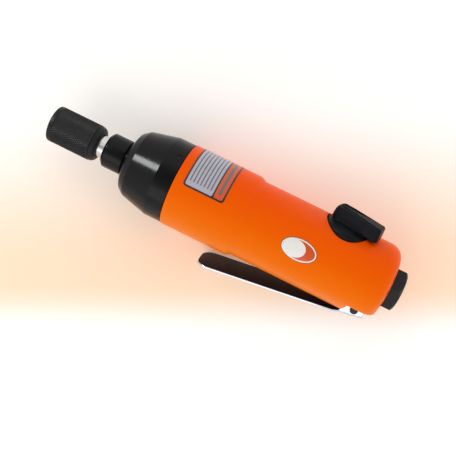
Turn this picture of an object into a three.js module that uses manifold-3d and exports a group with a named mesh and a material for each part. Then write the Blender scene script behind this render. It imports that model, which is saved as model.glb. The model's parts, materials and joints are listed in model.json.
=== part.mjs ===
// Inline air screwdriver: knurled quick-change chuck, impact mechanism, vane air motor, throttle lever
// and reverse knob. Millimetres, +Z up, lying on its side. Stations run along +X from the chuck's
// front face to the air inlet. In the tool's own group the knob points to +Z and the lever to -Z.
import * as THREE from "three";
import { mergeVertices } from "three/addons/utils/BufferGeometryUtils.js";
import Module from "manifold-3d";

const wasm = await Module();
wasm.setup();

// ---------- driving dimensions ----------
const ROLL = -65.05; // degrees about X, as the tool rests on its body and the lever's edge
const GAP = 0.3; // between touching pieces
const SLIP = 0.1; // radial clearance of a running fit

const SLEEVE = { front: 0.5, rear: 24.1, r: 9.5, corner: 3, lip: 7.1, pocket: 7.8, cavity: 8.2 };
const END_CAP = { front: 23.3, flange: 24.4, rear: 27.3, spigotR: 7.9, r: 9.35, rearR: 6.7, bore: 6.3 };
const SHAFT = { front: 1.6, r: 5.85 };
const HEX_SOCKET = { flats: 6.5, depth: 25 };
const COLLAR = { front: 31, rear: 42.3, r: 9.15, chamfer: 1.3, boreR: 6.25, threadR: 8, step: 34.5 };
const CASE = { front: 42.6, shoulder: 48.6, taper: 62.8, rear: 71.7 };
const CASE_R = { front: 9.1, shoulder: 17.8, rear: 21.3 };
const MOTOR = { front: 72, stepFront: 108.1, stepRear: 110.7, r: 21.5 };
const HANDLE = { r: 20.1, rear: 186.8, fillet: 8 };
const SPIGOT = { front: 63.6, r: 19 };
const BORE = { r: 17.5, rear: 131.3 };
const INLET = { rear: 193.2, flats: 20, chamfer: 1.6, threadR: 8.4, boreR: 5.6, threadFront: 172.5 };
const KNOB = { x: 156.4, r: 11.3, seat: 15.5, turn: -14, shoulder: 5 };
const WING = { front: -9.8, rear: 16, half: 3.4, halfRear: 4.8, under: 20.4, top: 28.8, topRear: 27.6 };
const VALVE = { boreR: 6.2, floor: -9, bushR: 5.9, bushBore: 4.6, spoolR: 4.5 };
const THROTTLE = { x: 167.2, boreR: 3.8, top: 9, pinR: 1.5 };
const LEVER_PIN = { r: 1.5, headR: 2, from: -7.9, to: 7.9, head: 0.5 };
const LEVER = { pivotX: 177.5, pivotZ: -16.1, slope: 8.81, thick: 1.2, half: 9, tip: 96.2 };
const EAR = { inner: 6.3, outer: 7.5, front: 171, rear: 182.8 };
const LUG = { half: 6, bottom: -17.3, front: 171.8, rear: 184 };
const CUT = { top: -11, front: 172.4, slantFront: 169.8 };
const RELIEF = { top: -18.2, front: 138 };
const ROTOR = { front: 88.5, rear: 123.5, r: 13.4, shaftR: 3.4, vanes: 6 };
const LINER = { front: 88.2, rear: 123.8, r: 17.2, bore: 14.6, offset: 0.9 };
const CAGE = { front: 57.2, rear: 75.5, r: 15.6, plate: 2.5 };
const PIN_R = 12.8; // hammer pins, distance from the axis

// ---------- materials ----------
const finish = (color, roughness, metalness) =>
  new THREE.MeshStandardMaterial({ color, roughness, metalness });
const orange = () => finish(0xe8540a, 0.35, 0.1);
const glossBlack = () => finish(0x0b0b0c, 0.2, 0.3);
const blackSteel = () => finish(0x17181a, 0.45, 0.7);
const blackPlastic = () => finish(0x1c1e21, 0.4, 0.0);
const brightSteel = () => finish(0xb9bcc0, 0.25, 1.0);
const chromed = () => finish(0xdfe2e6, 0.12, 1.0);
const castIron = () => finish(0x5a5c5f, 0.6, 0.8);
const aluminium = () => finish(0xa8abae, 0.4, 0.9);
const bronze = () => finish(0xa5813f, 0.4, 0.9);
const rubber = () => finish(0x101010, 0.8, 0.0);
const phenolic = () => finish(0x5c3a22, 0.6, 0.0);
const labelWhite = () => finish(0xf2f2ee, 0.5, 0.0);

// ---------- solids ----------
const degrees = THREE.MathUtils.degToRad;

function solid(geometry) {
  const bare = geometry.index ? geometry.toNonIndexed() : geometry.clone();
  bare.deleteAttribute("normal");
  bare.deleteAttribute("uv");
  const merged = mergeVertices(bare, 1e-4);
  const mesh = new wasm.Mesh({
    numProp: 3,
    vertProperties: merged.attributes.position.array,
    triVerts: new Uint32Array(merged.index.array),
  });
  return new wasm.Manifold(mesh);
}

// A closed outline of [station, radius] points, counter-clockwise, turned about the X axis.
function turned(outline, sides = 36) {
  const points = outline.map(([x, r]) => new THREE.Vector2(r, x));
  const first = points[0];
  const onAxis = outline[0][1] === 0 && outline.at(-1)[1] === 0;
  if (!onAxis) points.push(first.clone());
  return solid(new THREE.LatheGeometry(points, sides).rotateZ(-Math.PI / 2));
}

const rod = (x0, x1, r, sides = 32) => turned([[x0, 0], [x0, r], [x1, r], [x1, 0]], sides);
const tube = (x0, x1, inner, outer, sides = 36) =>
  turned([[x0, inner], [x0, outer], [x1, outer], [x1, inner]], sides);

// A cylinder along Z between two heights, standing at a station.
function post(x, z0, z1, r, sides = 32) {
  const shape = new THREE.CylinderGeometry(r, r, z1 - z0, sides).rotateX(Math.PI / 2);
  return solid(shape.translate(x, 0, (z0 + z1) / 2));
}

function block(x0, x1, y0, y1, z0, z1) {
  const shape = new THREE.BoxGeometry(x1 - x0, y1 - y0, z1 - z0);
  return solid(shape.translate((x0 + x1) / 2, (y0 + y1) / 2, (z0 + z1) / 2));
}

// A flat outline in the YZ plane, extruded along X. Its points are [y, z].
function prismX(points, x0, x1, holes = []) {
  const shape = new THREE.Shape(points.map(([y, z]) => new THREE.Vector2(y, z)));
  holes.forEach(([y, z, r]) => shape.holes.push(new THREE.Path().absarc(y, z, r, 0, 2 * Math.PI, true)));
  const options = { depth: x1 - x0, bevelEnabled: false, curveSegments: 10 };
  const geometry = new THREE.ExtrudeGeometry(shape, options);
  return solid(geometry.rotateX(Math.PI / 2).rotateZ(Math.PI / 2).translate(x0, 0, 0));
}

// A flat outline in the XZ plane, extruded along Y. Its points are [x, z].
function prismY(points, y0, y1) {
  const shape = new THREE.Shape(points.map(([x, z]) => new THREE.Vector2(x, z)));
  const geometry = new THREE.ExtrudeGeometry(shape, { depth: y1 - y0, bevelEnabled: false });
  return solid(geometry.rotateX(Math.PI / 2).translate(0, y1, 0));
}

const polar = (r, angle) => [-r * Math.sin(degrees(angle)), r * Math.cos(degrees(angle))];

// Points [y, z] of a ring sector about the axis. Angles are in degrees from +Z towards -Y.
function sector(inner, outer, from, to, steps = 10) {
  const arc = (r, a, b) => Array.from({ length: steps + 1 }, (_, i) => polar(r, a + ((b - a) * i) / steps));
  return [...arc(outer, from, to), ...arc(inner, to, from)];
}

// A regular hexagon [y, z] with one corner pointing at the given angle.
function hexagon(flats, cornerAngle) {
  const r = flats / Math.sqrt(3);
  return Array.from({ length: 6 }, (_, i) => polar(r, cornerAngle + 60 * i));
}

class Helix extends THREE.Curve {
  constructor(radius, length, turns) {
    super();
    Object.assign(this, { radius, length, turns });
  }

  getPoint(t, target = new THREE.Vector3()) {
    const a = 2 * Math.PI * this.turns * t;
    return target.set(this.length * t, this.radius * Math.cos(a), this.radius * Math.sin(a));
  }
}

// A coil spring along X, starting at the origin.
function coil(radius, length, turns, wireR) {
  const section = new THREE.Shape().absarc(0, 0, wireR, 0, 2 * Math.PI, false);
  const path = new Helix(radius, length, turns);
  const steps = Math.round(turns * 9);
  return solid(new THREE.ExtrudeGeometry(section, { extrudePath: path, steps, curveSegments: 3 }));
}

// ---------- the tool ----------
const tool = new THREE.Group();

function place(name, body, material, parent = tool) {
  const { vertProperties, triVerts, numProp } = body.getMesh();
  const geometry = new THREE.BufferGeometry();
  const corners = new Float32Array(triVerts.length * 3);
  triVerts.forEach((v, i) => corners.set(vertProperties.subarray(v * numProp, v * numProp + 3), i * 3));
  geometry.setAttribute("position", new THREE.BufferAttribute(corners, 3));
  geometry.computeVertexNormals();
  const mesh = new THREE.Mesh(geometry, material);
  mesh.name = name;
  parent.add(mesh);
  return mesh;
}

// ---------- quick-change chuck ----------
const BALL = { x: 5.8, r: 1.4, out: 4.4 };
const STOP_RING = { x: 2.2, width: 0.9, inner: 5.2, outer: 6.6 };
const SEAT_RING = { x: 22, width: 0.9, inner: 5.2, outer: 7.7 };
const LAND = { front: 4.2, rear: 10, r: 6.15 };
const SLEEVE_SPRING = { front: 10.8, length: 10.3, r: 7.1, turns: 6, wire: 0.42 };
const JAW = { inner: 6, outer: 9, halfAngle: 22 };
const ANVIL = { chamfer: 0.55, flangeFront: 57, flangeR: 7.8, coreFront: 60, coreR: 6.6, jawFront: 60.2,
  rear: 72.1 };

function anvil() {
  const groove = ({ x, width }) => tube(x - GAP, x + width + GAP, SEAT_RING.inner - GAP, SHAFT.r + 1, 32);
  const { chamfer, flangeFront, flangeR, coreFront, jawFront, coreR, rear } = ANVIL;
  const { inner, outer, halfAngle } = JAW;
  const jaw = (side) => prismX(sector(inner, outer, side - halfAngle, side + halfAngle, 6), jawFront, rear);
  const shaft = turned([[SHAFT.front, 0], [SHAFT.front, SHAFT.r - chamfer], [SHAFT.front + chamfer, SHAFT.r],
    [flangeFront + 0.5, SHAFT.r], [flangeFront + 0.5, 0]]);
  const socket = prismX(hexagon(HEX_SOCKET.flats, 0), SHAFT.front - 1, SHAFT.front + HEX_SOCKET.depth);
  const ballHole = post(BALL.x, 0, SHAFT.r + 2, BALL.r + SLIP * 2, 16);
  return shaft.add(rod(flangeFront, jawFront, flangeR)).add(rod(coreFront, rear, coreR))
    .add(jaw(90)).add(jaw(270)).subtract(socket).subtract(ballHole)
    .subtract(groove(STOP_RING)).subtract(groove(SEAT_RING));
}

// A retaining ring: a flat C whose gap points to the given angle.
function cRing({ x, width, inner, outer }, gapAngle) {
  return prismX(sector(inner, outer, gapAngle + 14, gapAngle + 346, 28), x, x + width);
}

// Points of a quarter-round edge from angle `from` to 90 or 0 degrees about its centre [station, radius].
function quarterRound(x, r, radiusX, radiusR, from, to, steps) {
  return Array.from({ length: steps + 1 }, (_, i) => {
    const a = degrees(from + ((to - from) * i) / steps);
    return [x + radiusX * Math.cos(a), r + radiusR * Math.sin(a)];
  });
}

function knurledSleeve() {
  const { front, rear, r, corner, lip, pocket, cavity } = SLEEVE;
  const edge = 0.3;
  const rounding = quarterRound(front + corner, r - corner, corner, corner, 180, 90, 5);
  return turned([[front, lip - 0.1], ...rounding.filter(([, radius]) => radius > lip), [rear - edge, r],
    [rear, r - edge], [rear, cavity], [LAND.rear, cavity], [LAND.rear, LAND.r], [LAND.front, LAND.r],
    [LAND.front, pocket], [front + 0.9, pocket], [front + 0.9, lip]]);
}

// The smooth rounded ring that closes the sleeve's spring chamber.
function sleeveEndCap() {
  const { front, flange, rear, spigotR, r, rearR, bore } = END_CAP;
  const rounding = quarterRound(flange, rearR, rear - flange, r - rearR, 90, 0, 5);
  return turned([[front, bore], [front, spigotR], [flange, spigotR], ...rounding, [rear, bore]]);
}

place("anvil", anvil(), brightSteel());
place("bit_detent_ball", solid(new THREE.SphereGeometry(BALL.r, 10, 6).translate(BALL.x, 0, BALL.out)),
  brightSteel());
place("sleeve_stop_ring", cRing(STOP_RING, 120), blackSteel());
place("spring_seat_ring", cRing(SEAT_RING, 300), blackSteel());
place("quick_change_sleeve", knurledSleeve(), blackSteel());
place("sleeve_end_cap", sleeveEndCap(), blackSteel());
const { r: coilR, length: coilLength, turns: coilTurns, wire } = SLEEVE_SPRING;
const sleeveSpring = place("sleeve_spring", coil(coilR, coilLength, coilTurns, wire), brightSteel());
sleeveSpring.position.x = SLEEVE_SPRING.front;

// ---------- nose ----------
function noseCollar() {
  const { front, rear, r, chamfer, boreR, threadR, step } = COLLAR;
  return turned([[front, boreR], [front, r - chamfer], [front + chamfer, r], [rear, r], [rear, threadR],
    [step, threadR], [step, boreR]]);
}

// Stations and radii inside the hammer case: the nose spigot, the bushing seat and the hammer room.
const NOSE = { front: 34.8, bore: 6.3, r: 7.7 };
const BUSH_SEAT = { front: 44, rear: 56.5, r: 8.3, bossFront: 52, bossR: 10.6 };
const HAMMER_ROOM_R = 16.2;

// The domed nose between the collar's rim and the shoulder of the taper.
function caseDome(steps) {
  const { front, shoulder } = CASE;
  const swellX = 0.84;
  const swellR = 1.26;
  return Array.from({ length: steps + 1 }, (_, i) => {
    const t = i / steps;
    const swell = Math.sin(Math.PI * t);
    const r = CASE_R.front + (CASE_R.shoulder - CASE_R.front) * t;
    return [front + (shoulder - front) * t - swellX * swell, r + swellR * swell];
  });
}

function hammerCase() {
  const { front, taper, rear } = CASE;
  const seamR = SPIGOT.r + GAP;
  const seamX = SPIGOT.front - GAP;
  const seat = BUSH_SEAT;
  return turned([[NOSE.front, NOSE.bore], [NOSE.front, NOSE.r], [front, NOSE.r], ...caseDome(5),
    [taper, CASE_R.rear], [rear, CASE_R.rear], [rear, seamR], [seamX, seamR], [seamX, HAMMER_ROOM_R],
    [seat.bossFront, HAMMER_ROOM_R], [seat.bossFront, seat.bossR], [seat.rear, seat.bossR],
    [seat.rear, seat.r], [seat.front, seat.r], [seat.front, NOSE.bore]], 48).subtract(plugHole(3));
}

// The grease hole on the case, to the knob's side of the upper meridian.
const GREASE = { x: 68.9, angle: 32.5, r: 1.3, floor: 20.1 };
function radialPost(from, to, r, x, angle, sides = 20) {
  const geometry = new THREE.CylinderGeometry(r, r, to - from, sides).rotateX(Math.PI / 2);
  return solid(geometry.translate(0, 0, (from + to) / 2).rotateX(degrees(angle)).translate(x, 0, 0));
}
function plugHole(over) {
  return radialPost(GREASE.floor, CASE_R.rear + over, GREASE.r + 0.15, GREASE.x, GREASE.angle);
}

place("nose_collar", noseCollar(), glossBlack());
place("hammer_case", hammerCase(), glossBlack());
place("anvil_bushing", tube(44.3, 56.2, SHAFT.r + SLIP, 8), bronze());
place("grease_plug", radialPost(GREASE.floor + 0.2, CASE_R.rear - 0.1, GREASE.r, GREASE.x, GREASE.angle),
  blackSteel());

// ---------- impact mechanism ----------
function hammerCage() {
  const { front, rear, r, plate } = CAGE;
  const struts = [90, 270].map((a) => prismX(sector(12.9, r, a - 26, a + 26), front + 1, rear - 1));
  const hub = rod(rear - 0.5, 79.8, 7);
  const socket = prismX(hexagon(6.4, 0), rear - 1.6, 81);
  const cage = tube(front, front + plate, 8.6, r).add(struts[0]).add(struts[1])
    .add(rod(rear - 3, rear, r, 48)).add(hub).subtract(socket);
  return [0, 180].reduce((body, a) => {
    const [y, z] = polar(PIN_R, a);
    return body.subtract(pinRod(y, z, front - 1, rear - 1, 1.7));
  }, cage);
}

function pinRod(y, z, x0, x1, r, sides = 20) {
  const geometry = new THREE.CylinderGeometry(r, r, x1 - x0, sides).rotateZ(-Math.PI / 2);
  return solid(geometry.translate((x0 + x1) / 2, y, z));
}

function hammerDog(angle) {
  const [y, z] = polar(PIN_R, angle);
  const arms = prismX(sector(9.5, 15.3, angle - 50, angle + 50, 14), CAGE.front + 2.8, CAGE.rear - 3.3);
  return arms.subtract(pinRod(y, z, CAGE.front, CAGE.rear, 1.7));
}

place("hammer_cage", hammerCage(), castIron());
[0, 180].forEach((angle, i) => {
  const [y, z] = polar(PIN_R, angle);
  place(`hammer_dog_${i + 1}`, hammerDog(angle), castIron());
  place(`hammer_pin_${i + 1}`, pinRod(y, z, CAGE.front + 0.3, CAGE.rear - 1.3, 1.5), brightSteel());
});

// ---------- air motor ----------
// A ball bearing between two stations: the inner race, the caged balls and the outer race.
const RACE = { outerR: 9.5, outerLand: 7.6, outerGroove: 8.4, innerLand: 5.4, innerGroove: 4.6, groove: 1.4 };
const CAGED_BALLS = { pitchR: 6.5, ballR: 1.45, count: 6, cageHalf: 0.5, cageInner: 6.1, cageOuter: 6.9 };

function cagedBalls(mid) {
  const { pitchR, ballR, count, cageHalf, cageInner, cageOuter } = CAGED_BALLS;
  const balls = Array.from({ length: count }, (_, i) => {
    const [y, z] = polar(pitchR, (360 / count) * i);
    return solid(new THREE.SphereGeometry(ballR, 8, 5).translate(mid, y, z));
  });
  const ring = tube(mid - cageHalf, mid + cageHalf, cageInner, cageOuter, 20);
  return balls.reduce((all, ball) => all.add(ball), ring);
}

function bearing(prefix, x0, x1) {
  const mid = (x0 + x1) / 2;
  const bore = ROTOR.shaftR + SLIP;
  const { outerR, outerLand, outerGroove, innerLand, innerGroove, groove } = RACE;
  const inner = turned([[x0, bore], [x0, innerLand], [mid - groove, innerLand], [mid, innerGroove],
    [mid + groove, innerLand], [x1, innerLand], [x1, bore]], 20);
  const outer = turned([[x0, outerLand], [x0, outerR], [x1, outerR], [x1, outerLand],
    [mid + groove, outerLand], [mid, outerGroove], [mid - groove, outerLand]], 20);
  place(`${prefix}_inner_race`, inner, brightSteel());
  place(`${prefix}_outer_race`, outer, brightSteel());
  place(`${prefix}_caged_balls`, cagedBalls(mid), brightSteel());
}

function rotor() {
  const { front, rear, r, shaftR, vanes } = ROTOR;
  const drive = prismX(hexagon(6, 0), 74.4, 80.4);
  const shaft = rod(80.2, 130.6, shaftR);
  const slots = Array.from({ length: vanes }, (_, i) => {
    const slot = block(front - 1, rear + 1, -0.8, 0.8, 6.9, r + 1);
    return slot.rotate([(360 / vanes) * i + 15, 0, 0]);
  });
  return slots.reduce((body, slot) => body.subtract(slot), rod(front, rear, r, 48).add(shaft).add(drive));
}

// An end plate with a bearing pocket that opens to the front or to the rear.
function endPlate(x0, x1, opensFront) {
  const pocket = opensFront ? tube(x0 - 1, x0 + 6.4, 0.5, 9.6) : tube(x1 - 6.4, x1 + 1, 0.5, 9.6);
  return tube(x0, x1, 3.9, LINER.r).subtract(pocket).subtract(dowelHole());
}

const DOWEL = { y: 0, z: -15.9, r: 0.8 };
const dowelHole = () => pinRod(DOWEL.y, DOWEL.z, 80, 132, DOWEL.r + 0.15, 12);

function cylinderLiner() {
  const { front, rear, r, bore, offset } = LINER;
  const eccentric = new THREE.CylinderGeometry(bore, bore, rear - front + 2, 56).rotateZ(-Math.PI / 2);
  const hollow = solid(eccentric.translate((front + rear) / 2, 0, offset));
  const ports = [98, 106, 114].map((x) => block(x - 1.5, x + 1.5, 8, 20, -1.5, 1.5));
  return ports.reduce((body, port) => body.subtract(port), rod(front, rear, r, 56).subtract(hollow))
    .subtract(dowelHole());
}

place("front_end_plate", endPlate(81, 87.9, true), castIron());
place("rear_end_plate", endPlate(124.1, 131, false), castIron());
place("cylinder_liner", cylinderLiner(), castIron());
place("alignment_dowel", pinRod(DOWEL.y, DOWEL.z, 82, 130, DOWEL.r, 12), brightSteel());
place("rotor", rotor(), brightSteel());
for (let i = 0; i < ROTOR.vanes; i += 1) {
  const vane = place(`rotor_vane_${i + 1}`, block(ROTOR.front + 0.2, ROTOR.rear - 0.2, -0.6, 0.6, 7.2, 13.55),
    phenolic());
  vane.rotation.x = degrees((360 / ROTOR.vanes) * i + 15);
}
bearing("front_bearing", 81.1, 87.1);
bearing("rear_bearing", 124.9, 130.9);

// ---------- motor housing ----------
function housingOutline() {
  const { front, stepFront, stepRear, r } = MOTOR;
  const { rear, fillet } = HANDLE;
  const steps = 6;
  const corner = Array.from({ length: steps + 1 }, (_, i) => {
    const a = degrees(90 - (90 * i) / steps);
    return [rear - fillet + fillet * Math.cos(a), HANDLE.r - fillet + fillet * Math.sin(a)];
  });
  const bevel = 0.4;
  return [[SPIGOT.front, BORE.r], [SPIGOT.front, SPIGOT.r], [front, SPIGOT.r], [front, r - bevel],
    [front + bevel, r], [stepFront, r], [stepRear, HANDLE.r], ...corner, [rear, 0], [BORE.rear, 0],
    [BORE.rear, BORE.r]];
}

// The flat under the lever's pivot, with a slanted front, and the lug that carries the pivot pin.
function leverSeat() {
  const wide = HANDLE.r + 1;
  const cut = prismY([[CUT.slantFront, -wide], [CUT.front, CUT.top], [HANDLE.rear + 1, CUT.top],
    [HANDLE.rear + 1, -wide]], -wide, wide);
  const relief = block(RELIEF.front, CUT.front, -wide, wide, -wide, RELIEF.top);
  return cut.add(relief);
}

const EXHAUST_ANGLES = [50, 75, 100];
const EXHAUST = { ring: 15.4, r: 1.6 };

function motorHousing() {
  const outline = housingOutline();
  const start = outline.findIndex(([, r]) => r === 0);
  const shell = turned([...outline.slice(start + 1), ...outline.slice(0, start + 1)], 48);
  const lug = block(LUG.front, LUG.rear, -LUG.half, LUG.half, LUG.bottom, CUT.top + 1);
  const body = shell.subtract(leverSeat()).add(lug);
  const cuts = [
    post(KNOB.x, KNOB.seat, 30, KNOB.r + GAP, 48),
    post(KNOB.x, VALVE.floor, 30, VALVE.boreR, 32),
    post(THROTTLE.x, -30, THROTTLE.top, THROTTLE.boreR, 28),
    rod(BORE.rear - 1, KNOB.x, 3.5, 20),
    rod(KNOB.x, INLET.threadFront + 1, 3.5, 20),
    rod(INLET.threadFront, HANDLE.rear + 1, INLET.threadR + GAP, 32),
    crossPin(1.65, -20, 20),
  ];
  [...EXHAUST_ANGLES, ...EXHAUST_ANGLES.map((a) => -a)].forEach((a) => {
    const [y, z] = polar(EXHAUST.ring, a);
    cuts.push(pinRod(y, z, BORE.rear - 1, HANDLE.rear + 1, EXHAUST.r, 12));
  });
  return cuts.reduce((all, cut) => all.subtract(cut), body);
}

// A cylinder along Y on the lever's pivot axis.
function crossPin(r, y0, y1, sides = 20) {
  const geometry = new THREE.CylinderGeometry(r, r, y1 - y0, sides);
  return solid(geometry.translate(LEVER.pivotX, (y0 + y1) / 2, LEVER.pivotZ));
}

place("motor_housing", motorHousing(), orange());

// ---------- label and badge ----------
// A thin curved plate over a cylinder, between two stations and two angles.
function curvedPlate(r, thick, x0, x1, from, to, steps) {
  return prismX(sector(r, r + thick, from, to, steps), x0, x1);
}

const FILM = { lift: 0.06, thick: 0.2 }; // off the coat, and through the film
const LABEL = { front: 76.4, rear: 98.2, from: -36, to: 65 };
const BADGE = { x: 139.8, half: 9, tall: 5.5, angle: 75 };

function badgePlate() {
  const halfAngle = THREE.MathUtils.radToDeg(BADGE.tall / HANDLE.r);
  const plate = curvedPlate(HANDLE.r + FILM.lift, FILM.thick, BADGE.x - BADGE.half, BADGE.x + BADGE.half,
    BADGE.angle - halfAngle, BADGE.angle + halfAngle, 12);
  const oval = new THREE.CylinderGeometry(1, 1, 40, 40).scale(BADGE.half, 1, BADGE.tall)
    .translate(0, 20, 0).rotateX(degrees(90)).rotateX(degrees(BADGE.angle)).translate(BADGE.x, 0, 0);
  return plate.intersect(solid(oval));
}

const { front: labelFront, rear: labelRear, from: labelFrom, to: labelTo } = LABEL;
const labelFilm = curvedPlate(MOTOR.r + FILM.lift, FILM.thick, labelFront, labelRear, labelFrom, labelTo, 40);
place("side_label", labelFilm, labelWhite());
place("name_badge", badgePlate(), labelWhite());

// ---------- reverse valve ----------
// The wing seen from above: round at the front, flaring to the rear.
function wingPlan() {
  const { half, halfRear, front, rear } = WING;
  const corner = 1.5;
  const plan = new THREE.Shape();
  plan.moveTo(0, half);
  plan.absarc(front + half, 0, half, Math.PI / 2, Math.PI * 1.5, false);
  plan.lineTo(rear - corner, -halfRear);
  plan.absarc(rear - corner, -halfRear + corner, corner, -Math.PI / 2, 0, false);
  plan.absarc(rear - corner, halfRear - corner, corner, 0, Math.PI / 2, false);
  return plan;
}

// What is cut off the wing from above: a falling top face and a round shoulder at the front.
function overWing() {
  const { front, rear, top, topRear } = WING;
  const { shoulder } = KNOB;
  const high = 40;
  const fall = (top - topRear) / (rear - front);
  const round = quarterRound(front + shoulder, top - shoulder, shoulder, shoulder, 180, 90, 6);
  return prismY([[front - 1, high], [front - 1, top - shoulder], ...round, [rear + 1, topRear - fall],
    [rear + 1, high]], -9, 9);
}

const KNOB_SCREW = { r: 1.6, holeR: 2.15, headR: 2.2, recessR: 2.45, recess: 3, headFloor: 26, top: 27.9 };

function knob() {
  const options = { depth: 12, bevelEnabled: false, curveSegments: 8 };
  const wing = solid(new THREE.ExtrudeGeometry(wingPlan(), options).translate(0, 0, WING.under));
  const { r, seat } = KNOB;
  const floor = seat + GAP;
  const dome = [[floor, 0], [floor, r], [18.5, r], [19.3, r - 0.6], [20.3, r - 2], [21, r - 5], [21, 0]];
  const base = solid(new THREE.LatheGeometry(dome.map(([z, d]) => new THREE.Vector2(d, z)), 48)
    .rotateX(Math.PI / 2));
  const screwHole = post(0, 10, 40, KNOB_SCREW.holeR, 20)
    .add(post(0, WING.top - KNOB_SCREW.recess, 40, KNOB_SCREW.recessR, 20));
  return base.add(wing.subtract(overWing())).subtract(screwHole);
}

const knobGroup = new THREE.Group();
knobGroup.position.x = KNOB.x;
knobGroup.rotation.z = degrees(KNOB.turn);
tool.add(knobGroup);

// Heights along the knob's axis.
const SPOOL = { top: 15.3, waist: 4, waistR: 3, tapFrom: 5, tapR: 1.9 };
const REVERSE_BUSH = { top: 13.2, portR: 2.6 };

function reverseBushing() {
  const { floor, bushR, bushBore } = VALVE;
  const shell = post(KNOB.x, floor + GAP, REVERSE_BUSH.top, bushR);
  const port = rod(KNOB.x - 20, KNOB.x + 20, REVERSE_BUSH.portR, 16);
  return shell.subtract(post(KNOB.x, -20, 20, bushBore)).subtract(port);
}

function reverseSpool() {
  const { top, waist, waistR, tapFrom, tapR } = SPOOL;
  const neck = post(0, -waist, waist, 10).subtract(post(0, -waist - 1, waist + 1, waistR));
  const tapped = post(0, tapFrom, top + 1, tapR, 16);
  return post(0, VALVE.floor + 2 * GAP, top, VALVE.spoolR).subtract(neck).subtract(tapped);
}

place("reverse_bushing", reverseBushing(), castIron());
place("reverse_spool", reverseSpool(), brightSteel(), knobGroup);
place("reverse_knob", knob(), blackPlastic(), knobGroup);
const screwHead = post(0, KNOB_SCREW.headFloor, KNOB_SCREW.top, KNOB_SCREW.headR, 16);
const screwShank = post(0, 7, KNOB_SCREW.headFloor, KNOB_SCREW.r, 16);
place("knob_screw", screwShank.add(screwHead), blackSteel(), knobGroup);

// ---------- throttle ----------
// Heights along the valve's axis.
const THROTTLE_BUSH = { bottom: -17.4, top: -8, play: 0.2 };
const THROTTLE_VALVE = { tip: -19.9, plateFrom: -7.7, plateTo: -5.2, plateR: 3.2, guideTo: -2 };
function throttleBushing() {
  const { x, boreR, pinR } = THROTTLE;
  const shell = post(x, THROTTLE_BUSH.bottom, THROTTLE_BUSH.top, boreR - THROTTLE_BUSH.play, 28);
  return shell.subtract(post(x, THROTTLE_BUSH.bottom - 1, 0, pinR + SLIP, 16));
}

function throttleValve() {
  const { x, pinR } = THROTTLE;
  const { tip, plateFrom, plateTo, plateR, guideTo } = THROTTLE_VALVE;
  return post(x, tip, plateTo - 0.5, pinR, 16).add(post(x, plateFrom, plateTo, plateR, 24))
    .add(post(x, plateTo - 0.2, guideTo, pinR + SLIP, 16));
}

const springGroup = new THREE.Group();
springGroup.position.set(THROTTLE.x, 0, -4.4);
springGroup.rotation.y = -Math.PI / 2;
tool.add(springGroup);

place("throttle_bushing", throttleBushing(), bronze());
place("throttle_valve", throttleValve(), brightSteel());
place("throttle_spring", coil(2.6, 12.6, 5, 0.35), brightSteel(), springGroup);

// ---------- lever ----------
// The lever's outer face falls away from the body towards the tip.
const STRIP = { heel: 19.9, tipCorner: 6, neck: 3 };
const leverOuter = (x) => -(STRIP.heel + (LEVER.pivotX - x) * Math.tan(degrees(LEVER.slope)));
const EAR_TOP = { rise: 3.2, rearRise: 2.2, rearRun: 1.2, frontRise: 2.4, frontRun: 1.8, flatFrom: 3.4 };

// The strip seen from above: narrow at the ears, then wide, with a rounded tip.
function stripPlan() {
  const { half, tip } = LEVER;
  const { tipCorner: corner, neck } = STRIP;
  const plan = new THREE.Shape();
  plan.moveTo(EAR.rear, -EAR.outer);
  plan.lineTo(EAR.rear, EAR.outer);
  plan.lineTo(EAR.front, EAR.outer);
  plan.lineTo(EAR.front - neck, half);
  plan.absarc(tip + corner, half - corner, corner, Math.PI / 2, Math.PI, false);
  plan.absarc(tip + corner, -half + corner, corner, Math.PI, Math.PI * 1.5, false);
  plan.lineTo(EAR.front - neck, -half);
  plan.lineTo(EAR.front, -EAR.outer);
  return plan;
}

function ear(side, strip) {
  const { rise, rearRise, rearRun, frontRise, frontRun, flatFrom } = EAR_TOP;
  const { front, rear } = EAR;
  const middle = strip / 2;
  const shape = [[front, leverOuter(front) + middle], [rear, leverOuter(rear) + middle],
    [rear, LEVER.pivotZ + rearRise], [rear - rearRun, LEVER.pivotZ + rise],
    [front + flatFrom, LEVER.pivotZ + rise],
    [front + frontRun, LEVER.pivotZ + frontRise]];
  const [near, far] = [side * EAR.inner, side * EAR.outer];
  return prismY(shape, Math.min(near, far), Math.max(near, far));
}

function lever() {
  const strip = LEVER.thick / Math.cos(degrees(LEVER.slope));
  const options = { depth: 30, bevelEnabled: false, curveSegments: 8 };
  const column = solid(new THREE.ExtrudeGeometry(stripPlan(), options).translate(0, 0, -42));
  const [x0, x1] = [LEVER.tip - 1, EAR.rear + 1];
  const band = prismY([[x0, leverOuter(x0)], [x1, leverOuter(x1)], [x1, leverOuter(x1) + strip],
    [x0, leverOuter(x0) + strip]], -LEVER.half - 1, LEVER.half + 1);
  const pinHole = crossPin(LEVER_PIN.r + 0.25, -12, 12);
  return column.intersect(band).add(ear(1, strip)).add(ear(-1, strip)).subtract(pinHole);
}

// The pin with a head on each side, outside the ears.
function leverPin() {
  const { r, headR, from, to, head } = LEVER_PIN;
  return crossPin(r, from, to).add(crossPin(headR, from - head, from + 0.1))
    .add(crossPin(headR - 0.1, to - 0.1, to + head));
}

place("throttle_lever", lever(), chromed());
place("lever_pin", leverPin(), blackSteel());

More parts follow.
